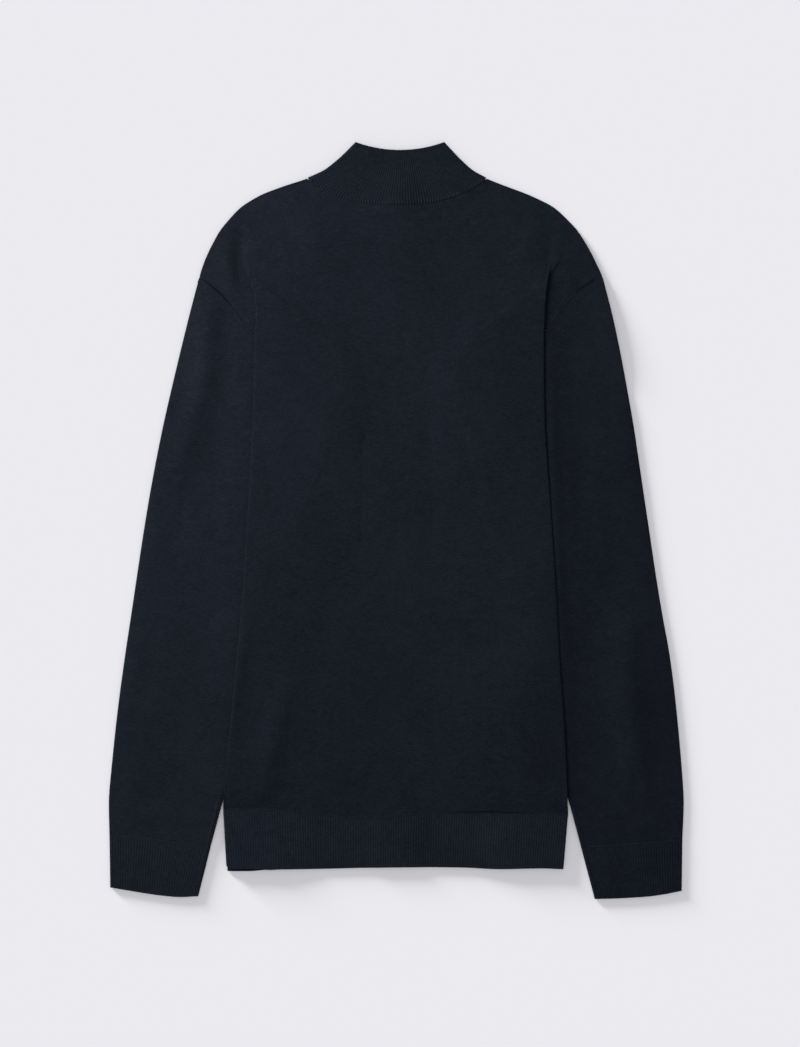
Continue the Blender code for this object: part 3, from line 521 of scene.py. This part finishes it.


# ---------------------------------------------------------------- the linking
# Rib and panels are linked loop by loop with the same yarn, so each seam shows as a fine chain of loops
# that lies on the join, over the two edges where they turn in. The loops are coloured lighter than the
# knitting, as painted highlight, and the cord of the turned-in edges darker, as painted shade in the seam.

NECK_HALF = 89 * MM
DRAWN_UP = 16 * MM  # how far down the back the seam draws the cloth up to the rib
WALL = 1.4 * MM
COLLAR_TOP = 4.6 * MM  # the upper layers lie above these heights
HEM_TOP = 2.6 * MM
SEAM_STEP = 0.5 * MM  # between the points along a felt seam
FEELER_STEPS = (2.5 * MM, 0.5 * MM, 0.1 * MM)  # ever finer, towards the edge
FEELER_TOP = 50 * MM
DOWN = Vector((0, 0, -1))
ROLL = (0.5 * MM, 0.42 * MM)  # half width of the turned-in edges' roll, and how far it is sunk
# A seam's pitch, half a loop's width, its length, and half its height.
NECK_LOOP = (2.9 * MM, 0.85 * MM, 4.4 * MM, 0.5 * MM)
SEAM_LOOP = (1.7 * MM, 0.8 * MM, 1.9 * MM, 0.35 * MM)


def draw_up(piece, line, reach):
    """Raises a piece's edge to the height of the rib linked to it, running out softly down the cloth."""
    points = points_of(piece.data)
    level = np.interp(points[:, 0], line[:, 0], line[:, 2]) - 0.45 * MM
    below = np.interp(points[:, 0], line[:, 0], line[:, 1]) - points[:, 1]
    share = np.clip(1 - below / reach, 0, 1) * (np.abs(points[:, 0]) < NECK_HALF + 3 * MM)
    share = share**2 * (3 - 2 * share)
    top = points[:, 2] + WALL * (upper_share(piece) < 0.5)
    points[:, 2] += np.clip(level - top, 0, None) * share
    place_points(piece.data, points)


def seam_points(piece, start, end, upper, top_wall=0.0):
    """Points along a piece's upper or lower edge, felt for on its own mesh from above."""
    tree = BVHTree.FromObject(piece, bpy.context.evaluated_depsgraph_get())
    extent = points_of(piece.data)[:, 1]
    edge = extent.max() if upper else extent.min()
    way = -1 if upper else 1

    def touch(x, y):
        touched = tree.ray_cast(Vector((x, y, FEELER_TOP)), DOWN)[0]
        return touched if touched is not None and touched.z > top_wall else None

    line = []
    for x in np.arange(start, end, SEAM_STEP):
        y = edge
        for step in FEELER_STEPS:
            while extent.min() <= y <= extent.max() and touch(x, y) is None:
                y += way * step
            y -= way * step
        inside = touch(x, y + way * 0.4 * MM)
        if inside is not None:
            line.append((x, y + way * 0.1 * MM, inside.z))
    line = np.array(line)
    kernel = np.ones(7) / 7  # each point is evened with three on either side
    padded = np.pad(line, ((3, 3), (0, 0)), mode="reflect", reflect_type="odd")
    line[:, 1] = np.convolve(padded[:, 1], kernel, "valid")
    line[:, 2] = np.convolve(padded[:, 2], kernel, "valid")
    return line


def even_steps(line, pitch):
    """Points a pitch apart along a line, and the way it runs there."""
    reach = np.concatenate([[0], np.cumsum(np.hypot(*np.diff(line[:, :2], axis=0).T))])
    stations = np.arange(pitch / 2, reach[-1], pitch)
    points = np.stack([np.interp(stations, reach, line[:, i]) for i in range(3)], axis=1)
    ahead = np.stack([np.interp(stations + pitch / 2, reach, line[:, i]) for i in range(3)], axis=1)
    behind = np.stack([np.interp(stations - pitch / 2, reach, line[:, i]) for i in range(3)], axis=1)
    return points, ahead - behind


def one_loop(half_width, length, height):
    """One loop of yarn over the join: a plump stitch, narrower at its head and bowed over the two edges."""
    bpy.ops.object.select_all(action="DESELECT")
    bpy.ops.mesh.primitive_uv_sphere_add(segments=8, ring_count=6, radius=1)
    loop = bpy.context.object
    bpy.ops.object.mode_set(mode="EDIT")
    bpy.ops.mesh.select_all(action="SELECT")
    bpy.ops.transform.rotate(value=math.pi / 2, orient_axis="X", center_override=(0, 0, 0))
    bpy.ops.transform.resize(value=(half_width, length / 2, height), center_override=(0, 0, 0))
    bpy.ops.object.mode_set(mode="OBJECT")
    points = points_of(loop.data)
    along = points[:, 1] / (length / 2)
    points[:, 0] *= 1 - 0.3 * along
    points[:, 0] += 0.25 * half_width * (1 - along**2)
    points[:, 2] -= 0.5 * height * along**2
    faces = [tuple(face.vertices) for face in loop.data.polygons]
    bpy.data.objects.remove(loop)
    return points, faces


def seam_roll(line, half_width, sink):
    """The two edges where they turn down into the seam: a thin soft cord along the line, which link_seam
    colours darker as painted shade in the seam.
    """
    path = bpy.data.curves.new("seam_roll", "CURVE")
    path.dimensions = "3D"
    path.bevel_depth = half_width
    path.bevel_resolution = 1
    path.use_fill_caps = True
    stretch = path.splines.new("POLY")
    stations = line[::4]
    stretch.points.add(len(stations) - 1)
    for point, (x, y, z) in zip(stretch.points, stations):
        point.co = (x, y, z - sink, 1)
    roll = bpy.data.objects.new("seam_roll", path)
    bpy.context.scene.collection.objects.link(roll)
    bpy.ops.object.select_all(action="DESELECT")
    roll.select_set(True)
    bpy.context.view_layer.objects.active = roll
    bpy.ops.object.convert(target="MESH")
    return bpy.context.object


def link_seam(name, line, loop_size, lift, aside=0.0):
    """A chain of loops along a line, with the seam's roll under it, as one mesh."""
    pitch, *shape = loop_size
    loop, loop_faces = one_loop(*shape)
    scatter = np.random.default_rng(7)
    stations, ways = even_steps(line, pitch)
    points, faces = [], []
    for station, way in zip(stations, ways):
        across = math.atan2(way[1], way[0]) + scatter.normal(0, 0.06)
        sine, cosine = math.sin(across), math.cos(across)
        turn = np.array([[cosine, sine, 0], [-sine, cosine, 0], [0, 0, 1]])
        size = 1 + scatter.normal(0, 0.06)
        centre = station + np.array((0, 0, lift)) + np.array((-sine, cosine, 0)) * aside
        faces += [tuple(i + len(points) * len(loop) for i in face) for face in loop_faces]
        points.append(loop * size @ turn + centre)
    mesh = bpy.data.meshes.new(name)
    mesh.from_pydata(np.concatenate(points).tolist(), [], faces)
    chain = bpy.data.objects.new(name, mesh)
    bpy.context.scene.collection.objects.link(chain)
    chain.data.materials.append(linking_yarn_painted_highlight)
    roll = seam_roll(line, *ROLL)
    roll.data.materials.append(painted_seam_shade)
    chain.select_set(True)
    bpy.context.view_layer.objects.active = chain
    bpy.ops.object.join()
    chain.data.polygons.foreach_set("use_smooth", [True] * len(chain.data.polygons))
    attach(chain, "garment")


# The linking loops are coloured lighter than the knitting: painted highlight.
linking_yarn_painted_highlight = yarn("linking_yarn_painted_highlight", 0.0, 0.9 * MM, 0.7 * MM, depth=0.06 * MM, lighter=1.35)
# The seam's cord is coloured at half the knitting's brightness: painted shade in the seam's groove.
painted_seam_shade = yarn("seam_painted_shade", depth=0.1 * MM, lighter=0.5)
neck_line = seam_points(collar, -NECK_HALF, NECK_HALF, False, COLLAR_TOP)
draw_up(back, neck_line, DRAWN_UP)
link_seam("neck_linking", neck_line, NECK_LOOP, 0.0, 1.0 * MM)
hem_line = seam_points(hems["back"], -175 * MM, 174 * MM, True, HEM_TOP)
link_seam("hem_linking", hem_line, SEAM_LOOP, 0.05 * MM, -0.4 * MM)
for side, start, end in (("left", -290 * MM, -196 * MM), ("right", 196 * MM, 290 * MM)):
    cuff_line = seam_points(cuffs[side], start, end, True)
    link_seam(side + "_cuff_linking", cuff_line, SEAM_LOOP, 0.0, -0.4 * MM)


# ---------------------------------------------------------------- the armhole seams
# The sleeve's head is sewn to the shoulder with a fine seam. What shows of it runs to the body's edge,
# as a thin sunk line on the left and with the sewing yarn's short stitches on the right. The stitches are
# coloured lighter as painted highlight, and the sunk line is darkened by the cord's painted shade.

ARMHOLE_LOOP = (2.4 * MM, 0.6 * MM, 2.0 * MM, 0.3 * MM)
# Where a seam starts and ends across, how far out the shoulder is drawn to it, and its lift, all in mm.
ARMHOLE_SEAMS = {"left": (-204.5, -143, 150, -0.5), "right": (148, 213, 156, 0.1)}
CLOSED = 4.0 * MM  # the shoulder's edge is never further than this from the sleeve's


def close_armhole(line, inner):
    """Brings the shoulder's edge onto the sleeve's, so that the seam is shut out to the garment's side."""
    points = points_of(back.data)
    gap = points[:, 1] - np.interp(points[:, 0], line[:, 0], line[:, 1])
    beside = (np.abs(points[:, 0]) > inner) & (np.sign(points[:, 0]) == np.sign(line[0, 0]))
    edge = beside & (gap > -0.5 * MM) & (gap < CLOSED)
    points[edge, 1] -= gap[edge] - 0.1 * MM
    place_points(back.data, points)


for side, (start, end, inner, lift) in ARMHOLE_SEAMS.items():
    line = seam_points(sleeves[side], start * MM, end * MM, True)
    close_armhole(line, inner * MM)
    link_seam(side + "_armhole_seam", line, ARMHOLE_LOOP, lift * MM, -0.1 * MM)


# ---------------------------------------------------------------- the sleeve seams
# Each sleeve is closed along the underarm, and the seam shows just inside the forearm's inner edge:
# a line of stitches coloured lighter as painted highlight on the left, and a fine sunk line on the right,
# darkened by the painted shade of the cord beneath.

# Where a seam comes into view, x and y, where it ends, x and y, and its lift, all in mm.
SLEEVE_SEAMS = {"left": (-181.8, -284, -204.2, -373, 0.1), "right": (180.2, -282, 203.8, -373, -0.5)}
SLEEVE_LOOP = (1.9 * MM, 0.8 * MM, 2.4 * MM, 0.45 * MM)

for side, (x0, y0, x1, y1, lift) in SLEEVE_SEAMS.items():
    line = []
    graph = bpy.context.evaluated_depsgraph_get()
    trees = [BVHTree.FromObject(piece, graph) for piece in (sleeves[side], cuffs[side])]
    for y in np.arange(y0 * MM, y1 * MM, -SEAM_STEP):
        x = np.interp(-y, (-y0 * MM, -y1 * MM), (x0 * MM, x1 * MM))
        for tree in trees:
            touched = tree.ray_cast(Vector((x, y, FEELER_TOP)), DOWN)[0]
            if touched is not None:
                line.append(tuple(touched))
    link_seam(side + "_sleeve_seam", np.array(line), SLEEVE_LOOP, lift * MM)


# ---------------------------------------------------------------- the zip's tapes
# Two woven tapes of polyester twill in the cardigan's navy, each sewn under the edge of a front.
# They run from the hem up into the collar.

# The two ends of the tape's painted twill shading: the navy of its furrows and the lighter navy of its
# ridges.
TAPE_NAVY = (0.006, 0.008, 0.014)
TAPE_NAVY_PAINTED_HIGHLIGHT = (0.012, 0.015, 0.024)
BONE = 1.6 * MM  # half the width of the herringbone's stripes
TWILL = 1400.0  # lines in a metre


def woven_tape():
    material = bpy.data.materials.new("woven_tape")
    material.use_nodes = True
    shader = material.node_tree.nodes["Principled BSDF"]
    place = add_node(material, "ShaderNodeTexCoord")
    parts = add_node(material, "ShaderNodeSeparateXYZ")
    wire(material, place.outputs["Object"], parts.inputs[0])
    bone = sums(material, "PINGPONG", parts.outputs["X"], BONE)
    across = sums(material, "MULTIPLY", bone, TWILL)
    along = sums(material, "MULTIPLY", parts.outputs["Y"], TWILL)
    slope = sums(material, "ADD", across, along)
    twill = sums(material, "SINE", sums(material, "MULTIPLY", slope, math.tau))
    shade = add_node(material, "ShaderNodeMix", data_type="RGBA")
    shade.inputs["A"].default_value = (*TAPE_NAVY, 1)
    shade.inputs["B"].default_value = (*TAPE_NAVY_PAINTED_HIGHLIGHT, 1)
    # The twill's ridges are coloured lighter and its furrows darker: painted shade of the weave.
    wire(material, sums(material, "MULTIPLY_ADD", twill, 0.4, 0.5, clamp=True), shade.inputs["Factor"])
    wire(material, shade.outputs["Result"], shader.inputs["Base Color"])
    bump = add_node(material, "ShaderNodeBump")
    bump.inputs["Strength"].default_value = 0.5
    bump.inputs["Distance"].default_value = 0.1 * MM
    wire(material, twill, bump.inputs["Height"])
    wire(material, bump.outputs[0], shader.inputs["Normal"])
    shader.inputs["Roughness"].default_value = 0.7
    shader.inputs["Specular IOR Level"].default_value = 0.2
    return material


tape_cloth = woven_tape()
for side in ("left", "right"):
    tape = knitted_copy("zip_tape_" + side, side + "_zip_tape")
    tape.data.materials.append(tape_cloth)


# ---------------------------------------------------------------- the zip's teeth
# Small pressed metal teeth, clamped one by one on the tapes' inner edges and closed up to the slider.
# Each has a narrower head, which sits between two teeth of the other tape.

TOOTH = (2.2 * MM, 1.2 * MM, 1.4 * MM)  # across, along and through
TOOTH_PLACE = -1.4 * MM  # its middle, left of the zip's
TOOTH_HEAD = 0.6 * MM
TOOTH_PITCH = 2.6 * MM
ZIP_X = 0.72 * MM
ZIP_FOOT = -354.6 * MM
ZIP_HEAD = 326.0 * MM
STEEL = (0.36, 0.37, 0.39)


def brushed_metal():
    material = bpy.data.materials.new("zip_metal")
    material.use_nodes = True
    shader = material.node_tree.nodes["Principled BSDF"]
    place = add_node(material, "ShaderNodeTexCoord")
    brushed = add_node(material, "ShaderNodeMapping")
    brushed.inputs["Scale"].default_value = (4000, 300, 2000)
    wire(material, place.outputs["Object"], brushed.inputs["Vector"])
    marks = add_node(material, "ShaderNodeTexNoise")
    marks.inputs["Scale"].default_value = 1
    marks.inputs["Detail"].default_value = 3
    wire(material, brushed.outputs[0], marks.inputs["Vector"])
    shade = add_node(material, "ShaderNodeMix", data_type="RGBA")
    shade.inputs["A"].default_value = (*[0.7 * c for c in STEEL], 1)
    shade.inputs["B"].default_value = (*STEEL, 1)
    wire(material, marks.outputs["Fac"], shade.inputs["Factor"])
    wire(material, shade.outputs["Result"], shader.inputs["Base Color"])
    dull = sums(material, "MULTIPLY_ADD", marks.outputs["Fac"], 0.25, 0.22)
    wire(material, dull, shader.inputs["Roughness"])
    bump = add_node(material, "ShaderNodeBump")
    bump.inputs["Strength"].default_value = 0.15
    bump.inputs["Distance"].default_value = 0.03 * MM
    wire(material, marks.outputs["Fac"], bump.inputs["Height"])
    wire(material, bump.outputs[0], shader.inputs["Normal"])
    shader.inputs["Metallic"].default_value = 1.0
    return material


def one_tooth():
    """A tooth of the left tape: a block clamped on the tape, drawn out into a head."""
    bpy.ops.object.select_all(action="DESELECT")
    bpy.ops.mesh.primitive_cube_add(size=1, location=(TOOTH_PLACE, 0, 0), scale=TOOTH)
    tooth = bpy.context.object
    bpy.ops.object.transform_apply(location=True, rotation=False, scale=True)
    bpy.ops.object.mode_set(mode="EDIT")
    shape = bmesh.from_edit_mesh(tooth.data)
    for face in shape.faces:
        face.select = face.normal.x > 0.5
    bmesh.update_edit_mesh(tooth.data)
    bpy.ops.mesh.inset(thickness=0.2 * MM, depth=0)
    bpy.ops.mesh.extrude_region_move(TRANSFORM_OT_translate={"value": (TOOTH_HEAD, 0, 0)})
    bpy.ops.transform.resize(value=(1, 1.35, 0.8), center_override=(0.3 * MM, 0, 0))
    bpy.ops.mesh.select_all(action="SELECT")
    bpy.ops.mesh.bevel(offset=0.12 * MM, segments=1, affect="EDGES")
    bpy.ops.object.mode_set(mode="OBJECT")
    points = points_of(tooth.data)
    faces = [tuple(face.vertices) for face in tooth.data.polygons]
    bpy.data.objects.remove(tooth)
    return points, faces


def chain_height(node):
    """Middle height of the solid chain along its length, so that the teeth rise and fall with it."""
    points = points_of(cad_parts[node].data)
    levels = np.unique(points[:, 1].round(5))
    middles = [points[np.abs(points[:, 1] - y) < MERGE][:, 2].mean() for y in levels]
    return levels, np.array(middles)


levels, middles = chain_height("zip_chain")
tooth, tooth_faces = one_tooth()
points, faces = [], []
for way in (1, -1):
    shape = tooth * (way, 1, 1)
    for y in np.arange(ZIP_FOOT + (way < 0) * TOOTH_PITCH / 2, ZIP_HEAD, TOOTH_PITCH):
        start = sum(map(len, points))
        faces += [tuple(start + i for i in (face if way > 0 else face[::-1])) for face in tooth_faces]
        points.append(shape + (ZIP_X, y, np.interp(y, levels, middles)))
mesh = bpy.data.meshes.new("zip_teeth")
mesh.from_pydata(np.concatenate(points).tolist(), [], faces)
teeth = bpy.data.objects.new("zip_teeth", mesh)
bpy.context.scene.collection.objects.link(teeth)
metal = brushed_metal()
teeth.data.materials.append(metal)
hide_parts("zip_chain")
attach(teeth, "garment")


# ---------------------------------------------------------------- the slider and its pull
# A small cast metal slider at the top of the zip, under the collar, and the stamped pull that swings in
# its bridge. Both are the solids themselves, in the teeth's metal.

for node in ("zip_slider", "zip_pull"):
    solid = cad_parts[node]
    solid.data.materials.clear()
    solid.data.materials.append(metal)


# ---------------------------------------------------------------- the table and the light
# A pale, faintly lilac paper ground, a broad soft light from the left, and the camera straight above.
# The ground has two soft lights of its own, so that its shadow falls to the lower right.

GROUND = (0.800, 0.792, 0.828)
VIEW_CENTRE = (3.8 * MM, -2.9 * MM)
VIEW_HEIGHT = 1078.4 * MM  # of the whole picture
LENS = 100.0
SENSOR = 36.0
WINDOW = (-1.05, 0.60, 0.75)  # it faces the table's middle
# The ground's own lights: name, energy, spread in degrees, and the way they shine.
GROUND_LIGHTS = (
    ("low_light", 6.6, 13, (1.0, -1.0, -0.22)),
    ("top_light", 1.02, 40, (0.0, 0.0, -1.0)),
)
ROOM = (0.985, 0.985, 1.0)
ROOM_LIGHT = 0.40


def paper():
    material = bpy.data.materials.new("pale_ground")
    material.use_nodes = True
    shader = material.node_tree.nodes["Principled BSDF"]
    place = add_node(material, "ShaderNodeTexCoord")
    fibres = add_node(material, "ShaderNodeTexNoise")
    fibres.inputs["Scale"].default_value = 300
    wire(material, place.outputs["Object"], fibres.inputs["Vector"])
    shade = add_node(material, "ShaderNodeMix", data_type="RGBA")
    shade.inputs["A"].default_value = (*[c * 0.995 for c in GROUND], 1)
    shade.inputs["B"].default_value = (*GROUND, 1)
    wire(material, fibres.outputs["Fac"], shade.inputs["Factor"])
    wire(material, shade.outputs["Result"], shader.inputs["Base Color"])
    shader.inputs["Roughness"].default_value = 0.9
    shader.inputs["Specular IOR Level"].default_value = 0.1
    return material


bpy.ops.object.select_all(action="DESELECT")
bpy.ops.mesh.primitive_plane_add(size=6, location=(0, 0, -0.2 * MM))
ground = bpy.context.object
ground.name = "ground"
ground.data.materials.append(paper())
ground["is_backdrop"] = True

garment_only = bpy.data.collections.new("lit by the window")
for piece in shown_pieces():
    garment_only.objects.link(piece)
ground_only = bpy.data.collections.new("lit by the low light")
ground_only.objects.link(ground)

bpy.ops.object.light_add(type="AREA", location=WINDOW)
window = bpy.context.object
window.name = "window_light"
window.data.size = 0.9
window.data.energy = 30
window.rotation_euler = (-Vector(WINDOW)).to_track_quat("-Z", "Y").to_euler()
window.light_linking.receiver_collection = garment_only

for name, energy, spread, direction in GROUND_LIGHTS:
    bpy.ops.object.light_add(type="SUN", location=(-1, 1, 1))
    lamp = bpy.context.object
    lamp.name = name
    lamp.data.energy = energy
    lamp.data.angle = math.radians(spread)
    lamp.rotation_euler = Vector(direction).to_track_quat("-Z", "Y").to_euler()
    lamp.light_linking.receiver_collection = ground_only

world = bpy.data.worlds.new("studio")
world.use_nodes = True
world.node_tree.nodes["Background"].inputs["Color"].default_value = (*ROOM, 1)
world.node_tree.nodes["Background"].inputs["Strength"].default_value = ROOM_LIGHT
bpy.context.scene.world = world

bpy.context.scene.view_settings.view_transform = "Standard"
view = bpy.data.cameras.new("camera")
view.sensor_width = SENSOR
view.lens = LENS
camera = bpy.data.objects.new("camera", view)
camera.location = (*VIEW_CENTRE, VIEW_HEIGHT / SENSOR * LENS + 5 * MM)
bpy.context.scene.collection.objects.link(camera)
bpy.context.scene.camera = camera
